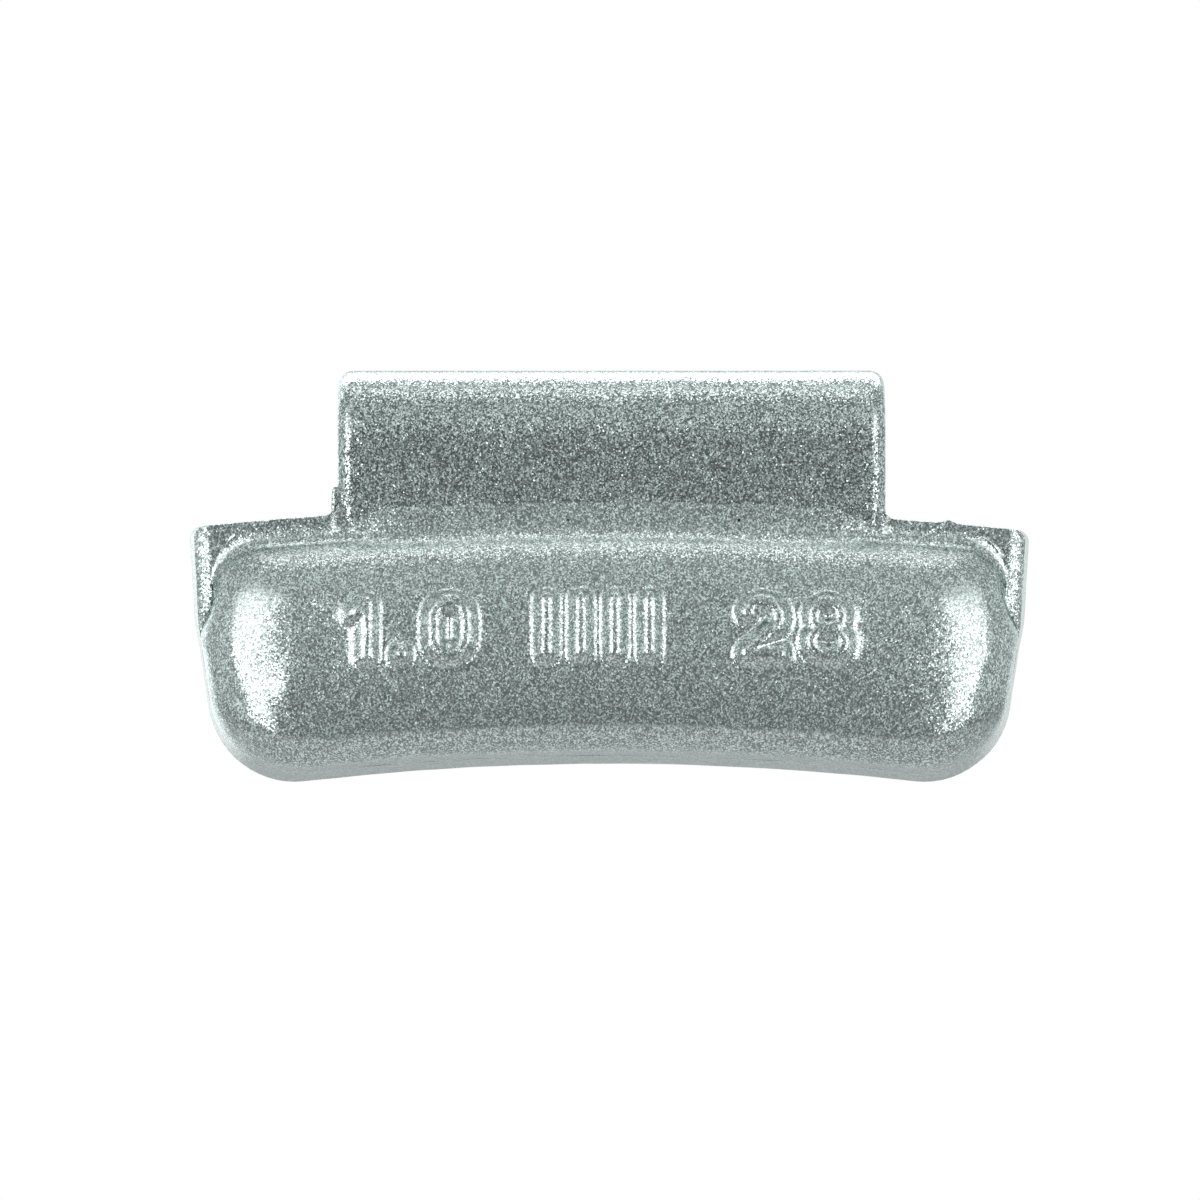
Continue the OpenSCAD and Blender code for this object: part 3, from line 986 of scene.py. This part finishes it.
@dataclass
class SpringClip:
    """The steel strip: a straight tongue and panel, a bend over the flange, and a flared tail.

    Its skin is one grid: a flat section with rounded edges, carried along the strip's middle line.
    """

    coat: FlakeCoat
    # The strip and its tail
    strip_t: float = 0.9
    front_edge_r: float = 0.7
    buried_z: float = -3.6
    tail_l: float = 2.8
    tail_corner_r: float = 1.5
    flare_r: float = 1.2
    flare_angle: float = 45.0
    tip_r: float = 0.4
    tip_share: float = 0.1
    swell: float = 0.012
    swell_wave: float = 6.0
    # Points along each stretch of the middle line, and of half the section
    tongue_steps: int = 8
    panel_steps: int = 30
    bend_steps: int = 64
    tail_steps: int = 20
    curl_steps: int = 30
    flat_steps: int = 30
    edge_steps: int = 14

    def __post_init__(self) -> None:
        """Take the strip's width, bend and tongue from the frame."""
        low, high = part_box("spring_clip")
        self.half = high[0] / MM
        self.middle_r = high[2] / MM - self.strip_t / 2
        self.tongue_z = low[2] / MM

    def _path(self) -> tuple[np.ndarray, np.ndarray, np.ndarray]:
        """Middle line of the strip: a line, a half circle, a line and an arc that curls away.

        Returns:
            Y and Z of each station, the outward normals there, and the distance left to the tip.
        """
        r = self.middle_r
        tongue = np.linspace(self.tongue_z, self.buried_z, self.tongue_steps)[:-1]
        panel = np.linspace(self.buried_z, 0, self.panel_steps)[:-1]
        up = np.concatenate([tongue, panel])
        turn = np.linspace(0, math.pi, self.bend_steps)
        tail = np.linspace(0, -self.tail_l, self.tail_steps)[1:-1]
        flare_r = self.flare_r + self.strip_t / 2
        curl = np.radians(self.flare_angle) * np.linspace(0, 1, self.curl_steps)
        y = np.concatenate([0 * up - r, -r * np.cos(turn), 0 * tail + r,
                            r + flare_r * (1 - np.cos(curl))])
        z = np.concatenate([up, r * np.sin(turn), tail, -self.tail_l - flare_r * np.sin(curl)])
        ny = np.concatenate([0 * up - 1, -np.cos(turn), 0 * tail + 1, np.cos(curl)])
        nz = np.concatenate([0 * up, np.sin(turn), 0 * tail, np.sin(curl)])
        steps = np.hypot(np.diff(y), np.diff(z))
        left = np.concatenate([np.cumsum(steps[::-1])[::-1], [0.0]])
        return np.stack([y, z], axis=-1), np.stack([ny, nz], axis=-1), left

    def _section(self, left: np.ndarray) -> tuple[np.ndarray, np.ndarray]:
        """Section of the strip at each station: flat, with a quarter round at each of its edges.

        It narrows along the arc of the tail's corners, and thins along an ellipse at the tip.

        Args:
            left: Distance left to the tip at each station.

        Returns:
            For each station, the places across the strip and those out from its middle line.
        """
        corner, front_r = self.tail_corner_r, self.front_edge_r
        back_r = self.strip_t - front_r
        narrow = corner - np.sqrt(corner ** 2 - np.maximum(corner - left, 0) ** 2)
        at_tip = np.maximum(1 - left / self.tip_r, 0)
        thin = np.sqrt(np.maximum(1 - at_tip ** 2, self.tip_share ** 2))
        half = (self.half - narrow)[:, None]
        thick = (self.strip_t / 2 * thin)[:, None]

        flat = np.linspace(0, 1, self.flat_steps)
        turn = np.linspace(0, math.pi / 2, self.edge_steps)[1:]
        inside, outside = front_r * (1 - np.sin(turn)), back_r * (1 - np.cos(turn))
        across = np.concatenate([(half - front_r) * flat, half - inside, half - outside,
                                 (half - back_r) * flat[::-1][1:]], axis=1)
        out = np.concatenate([
            0 * flat + 1, 1 - 2 * front_r * (1 - np.cos(turn)) / self.strip_t,
            -1 + 2 * back_r * (1 - np.sin(turn)) / self.strip_t, 0 * flat[1:] - 1,
        ]) * thick
        return (np.concatenate([across, -across[:, -2:0:-1]], axis=1),
                np.concatenate([out, out[:, -2:0:-1]], axis=1))

    def build(self) -> bpy.types.Object:
        """Make the clip.

        Returns:
            The dressed piece, riding on the frame.
        """
        middle, normal, left = self._path()
        across, out = self._section(left)
        skin = np.stack([
            across,
            middle[:, :1] + normal[:, :1] * out,
            middle[:, 1:] + normal[:, 1:] * out,
        ], axis=-1)
        swell = ripple(skin, self.swell_wave, self.swell) * np.sign(out)
        skin[..., 1] += normal[:, :1] * swell
        skin[..., 2] += normal[:, 1:] * swell
        rows, columns = skin.shape[:2]
        faces = grid_quads(rows, columns).tolist()
        faces.append(list(range(columns)))
        faces.append(list(range((rows - 1) * columns, rows * columns)))
        piece = make_piece("clip_strip", skin.reshape(-1, 3), faces)
        piece.data.materials.append(self.coat.material())
        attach(piece, "root")
        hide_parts("spring_clip")
        log.info("clip: %d points", len(piece.data.vertices))
        return piece


@dataclass(frozen=True)
class Panel:
    """One soft box or card of the studio, on a ball round the object.

    The azimuth counts from the camera's side, both angles are in degrees, and the distance is in
    metres. A glow of 1 is white.
    """

    name: str
    azimuth: tuple[float, float]
    elevation: tuple[float, float]
    glow: float
    away: float = 0.7


@dataclass
class Studio:
    """White surroundings, a pale floor, soft boxes, grey cards and a camera straight in front.

    The boxes beside and behind give the bright patches and rims, and the cards in front of the
    weight are what its face mirrors. The camera sees neither.
    """

    camera_m: float = 0.45
    sensor_mm: float = 36.0
    far_m: float = 100.0
    floor_m: float = 0.26
    floor_side: float = 2.6
    floor_tone: float = 0.65
    floor_roughness: float = 0.8
    world_fill: float = 0.7
    lamp_tint: tuple[float, float, float] = (1.0, 0.925, 0.93)
    least_level: float = 0.5
    card_points: int = 9
    boxes: tuple[Panel, ...] = (
        Panel("left_box", (-60, -18), (0, 40), 3.0),
        Panel("right_box", (18, 60), (0, 40), 2.5),
        Panel("left_far_box", (-138, -60), (-20, 35), 0.15),
        Panel("right_far_box", (60, 138), (-20, 35), 0.1),
        Panel("left_rear_box", (-166, -132), (-20, 35), 1.3),
        Panel("right_rear_box", (138, 166), (-20, 35), 0.5),
        Panel("back_box", (136, 224), (31, 63), 4.0),
        Panel("zenith_box", (150, 210), (78, 100), 1.1),
    )
    cards: tuple[Panel, ...] = (
        Panel("front_card", (-18, 18), (-35, 17), 0.57),
        Panel("front_high_card", (-18, 18), (17, 28), 0.72),
        Panel("front_top_card", (-18, 18), (28, 44), 0.80),
    )

    def camera(self) -> None:
        """Set up the camera so that the photograph's frame fits the object."""
        data = bpy.data.cameras.new("camera")
        data.sensor_width = self.sensor_mm
        data.lens = self.sensor_mm * self.camera_m / (IMAGE_PX * MM_PER_PX * MM)
        data.clip_end = self.far_m
        strip_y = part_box("spring_clip")[0][1]
        x, z = from_pixel(IMAGE_PX / 2, IMAGE_PX / 2)
        made = new_object("camera", data)
        made.location = (x * MM, strip_y - self.camera_m, z * MM)
        made.rotation_euler = (math.pi / 2, 0, 0)
        bpy.context.scene.camera = made

    def world(self) -> None:
        """Make the surroundings: white where they are seen, softer where they only light."""
        made = bpy.data.worlds.new("surroundings")
        made.use_nodes = True
        tree = made.node_tree
        back = tree.nodes["Background"]
        back.inputs["Color"].default_value = (1, 1, 1, 1)
        path = add_node(tree, "LightPath", {})
        seen = path.outputs["Is Camera Ray"]
        for name in ("Is Glossy Ray", "Is Transmission Ray"):
            either = add_node(tree, "Math", {0: seen, 1: path.outputs[name]}, operation="MAXIMUM")
            seen = either.outputs["Value"]
        level = add_node(tree, "MapRange", {"Value": seen, "To Min": self.world_fill})
        tree.links.new(level.outputs["Result"], back.inputs["Strength"])
        bpy.context.scene.world = made

    @staticmethod
    def _staged(name: str, points: np.ndarray, faces: list[tuple[int, ...]],
                material: bpy.types.Material) -> bpy.types.Object:
        """Put a piece of the studio into the scene.

        Args:
            name: Name of the piece.
            points: Places in metres.
            faces: Point numbers of each face.
            material: What it is covered with.

        Returns:
            The new object.
        """
        mesh = bpy.data.meshes.new(name)
        mesh.from_pydata(points.tolist(), [], faces)
        mesh.materials.append(material)
        made = new_object(name, mesh)
        return made

    def floor(self) -> None:
        """Lay a pale floor well below the weight, which hangs as it would on a rim."""
        paint = bpy.data.materials.new("floor_white")
        paint.use_nodes = True
        shader = paint.node_tree.nodes["Principled BSDF"]
        shader.inputs["Base Color"].default_value = (*[self.floor_tone] * 3, 1)
        shader.inputs["Roughness"].default_value = self.floor_roughness
        side = self.floor_side / 2
        points = np.array([(-side, -side, 0), (side, -side, 0), (side, side, 0), (-side, side, 0)])
        self._staged("floor", points - (0, 0, self.floor_m), [(0, 1, 2, 3)], paint)

    @staticmethod
    def _way(azimuth: float, elevation: float) -> Vector:
        """Direction from the object at these angles, in degrees."""
        a, e = math.radians(azimuth), math.radians(elevation)
        return Vector((math.sin(a) * math.cos(e), -math.cos(a) * math.cos(e), math.sin(e)))

    def lamps(self) -> None:
        """Hang the soft boxes: each looks at the object and is as large as its angles ask for."""
        for box in self.boxes:
            azimuth, elevation = sum(box.azimuth) / 2, sum(box.elevation) / 2
            level = max(math.cos(math.radians(elevation)), self.least_level)
            wide = 2 * box.away * slope_of((box.azimuth[1] - box.azimuth[0]) / 2) * level
            high = 2 * box.away * slope_of((box.elevation[1] - box.elevation[0]) / 2)
            lamp = bpy.data.lights.new(box.name, "AREA")
            lamp.shape = "RECTANGLE"
            lamp.size, lamp.size_y = wide, high
            lamp.energy = box.glow * math.pi * wide * high
            lamp.color = self.lamp_tint
            way = self._way(azimuth, elevation)
            made = new_object(box.name, lamp)
            made.location = way * box.away
            made.rotation_euler = way.to_track_quat("Z", "Y").to_euler()
            made.visible_camera = False

    def grey_cards(self) -> None:
        """Set the cards: patches of a ball in even steps of both angles, unseen by the camera."""
        n = self.card_points
        faces = [(n * i + j, n * i + j + 1, n * i + n + j + 1, n * i + n + j)
                 for i in range(n - 1) for j in range(n - 1)]
        for card in self.cards:
            grey = bpy.data.materials.new(card.name + "_grey")
            grey.use_nodes = True
            tree = grey.node_tree
            glow = add_node(tree, "Emission", {"Strength": card.glow})
            surface = tree.nodes["Material Output"].inputs["Surface"]
            tree.links.new(glow.outputs["Emission"], surface)
            azimuth = np.radians(np.linspace(*card.azimuth, n))
            elevation = np.radians(np.linspace(*card.elevation, n))[:, None]
            points = card.away * np.stack([
                np.sin(azimuth) * np.cos(elevation), -np.cos(azimuth) * np.cos(elevation),
                np.sin(elevation) + 0 * azimuth,
            ], axis=-1).reshape(-1, 3)
            self._staged(card.name, points, faces, grey).visible_camera = False

    def build(self) -> None:
        """Set up the whole studio."""
        self.camera()
        self.world()
        self.floor()
        self.lamps()
        self.grey_cards()
        bpy.context.scene.view_settings.view_transform = "Standard"
        log.info("studio: %d soft boxes and %d cards", len(self.boxes), len(self.cards))


def main() -> None:
    """Build the pieces and the studio."""
    logging.basicConfig(level=logging.INFO, format="%(name)s: %(message)s")
    pits = tuple(from_pixel(*place) for place in PIN_HOLES_PX)
    on_lead = FlakeCoat("silver_coat_on_lead", pits=pits)
    on_steel = FlakeCoat("silver_coat_on_steel", tone=(0.284, 0.342, 0.334), tilt=1.2,
                         contrast=0.66)
    Casting(on_lead).build()
    SpringClip(on_steel).build()
    Studio().build()


if __name__ == "__main__":
    main()
